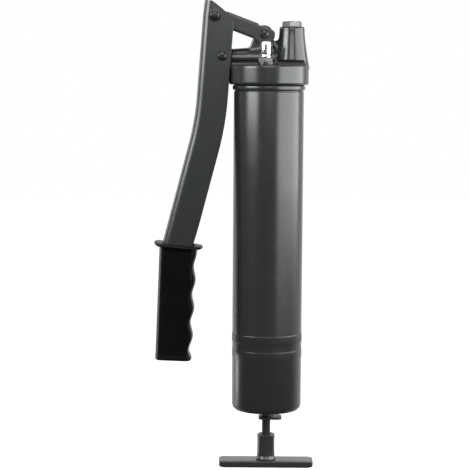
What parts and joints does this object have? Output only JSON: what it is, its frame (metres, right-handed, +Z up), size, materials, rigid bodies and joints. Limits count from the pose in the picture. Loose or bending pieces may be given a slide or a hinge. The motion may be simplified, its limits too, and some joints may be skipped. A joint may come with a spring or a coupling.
{
  "type": "grease gun",
  "caption": "Hand-operated lever grease gun for cartridges, with a dark painted barrel, cast head, folded lever with a black grip, and a pull rod with a T-handle.",
  "frame": {"origin": "on the barrel's axis, at the middle of the plain stretch that a clamp or clip holds", "axes": "+Z up the barrel towards the head, -X towards the lever, +X towards the outlet, -Y towards the filler nipple"},
  "size_m": [0.1296, 0.0636, 0.3766],
  "materials": {
    "barrel_paint": "satin",
    "head_paint": "satin",
    "lever_paint": "satin",
    "pin_paint": "satin",
    "handle_paint": "satin",
    "bush_steel": "satin",
    "adapter_steel": "satin",
    "nipple_chrome": "gloss",
    "rod_steel": "satin",
    "plain_steel": "satin",
    "spring_steel": "satin",
    "seal_rubber": "matte",
    "grip_rubber": "gloss"
  },
  "bodies": {
    "barrel": {"barrel_tube": "barrel_paint", "rod_bush": "bush_steel", "follower_spring": "spring_steel", "latch_spring": "spring_steel"},
    "gasket": {"head_gasket": "seal_rubber"},
    "head": {"head_casting": "head_paint", "outlet_adapter": "adapter_steel", "filler_nipple": "nipple_chrome", "plunger_seal": "seal_rubber", "gland_ring": "plain_steel", "lug_pin": "pin_paint", "check_spring": "spring_steel", "nipple_spring": "spring_steel"},
    "outlet_valve": {"check_ball": "plain_steel"},
    "nipple_valve": {"nipple_ball": "plain_steel"},
    "link": {"link": "lever_paint"},
    "lever": {"lever": "lever_paint", "lever_grip": "grip_rubber", "lever_pin": "pin_paint", "plunger_pin": "pin_paint"},
    "plunger": {"plunger": "plain_steel"},
    "follower": {"follower_cup": "seal_rubber", "follower_plate": "plain_steel", "follower_washer": "plain_steel"},
    "handle": {"rod_nut": "plain_steel", "follower_rod": "rod_steel", "handle_hub": "handle_paint", "t_handle": "handle_paint"},
    "latch": {"latch_plate": "bush_steel"}
  },
  "joints": [
    {"name": "gasket_lift", "type": "slide", "parent": "barrel", "child": "gasket", "axis": [0, 0, 1], "range_m": [0, 0.009]},
    {"name": "head_turn", "type": "hinge", "parent": "gasket", "child": "head", "pos_m": [0, 0, 0.1446], "axis": [0, 0, 1], "range_deg": [0, 1080]},
    {"name": "link_swing", "type": "hinge", "parent": "head", "child": "link", "pos_m": [-0.0043, 0, 0.1711], "axis": [0, -1, 0], "range_deg": [0, 9.6]},
    {"name": "lever_swing", "type": "hinge", "parent": "link", "child": "lever", "pos_m": [-0.0435, 0, 0.1858], "axis": [0, 1, 0], "range_deg": [0, 64.5]},
    {"name": "plunger_slide", "type": "slide", "parent": "head", "child": "plunger", "axis": [-1, 0, 0], "range_m": [0, 0.0318]},
    {"name": "outlet_valve_lift", "type": "slide", "parent": "head", "child": "outlet_valve", "axis": [0, 0, 1], "range_m": [0, 0.0012], "stiffness_N_per_m": 200, "springref_m": -0.001, "deforming": ["check_spring"]},
    {"name": "nipple_valve_drop", "type": "slide", "parent": "head", "child": "nipple_valve", "axis": [0, 0, -1], "range_m": [0, 0.001], "stiffness_N_per_m": 150, "springref_m": -0.001, "deforming": ["nipple_spring"]},
    {"name": "follower_draw", "type": "slide", "parent": "barrel", "child": "follower", "axis": [0, 0, -1], "range_m": [0, 0.19], "stiffness_N_per_m": 220, "springref_m": -0.08, "deforming": ["follower_spring"]},
    {"name": "handle_turn", "type": "hinge", "parent": "follower", "child": "handle", "pos_m": [0, 0, -0.1755], "axis": [0, 0, 1], "continuous": true},
    {"name": "latch_tilt", "type": "hinge", "parent": "barrel", "child": "latch", "pos_m": [-0.009, 0, -0.1372], "axis": [0, -1, 0], "range_deg": [0, 6], "stiffness_Nm_per_rad": 0.05, "springref_deg": -5.73, "deforming": ["latch_spring"]}
  ],
  "couplings": [
    {"joint": "head_turn", "follows": "gasket_lift", "rad_per_m": 2094.4},
    {"joint": "link_swing", "follows": "lever_swing", "ratio": 0.1475},
    {"joint": "plunger_slide", "follows": "lever_swing", "m_per_rad": 0.028075}
  ]
}
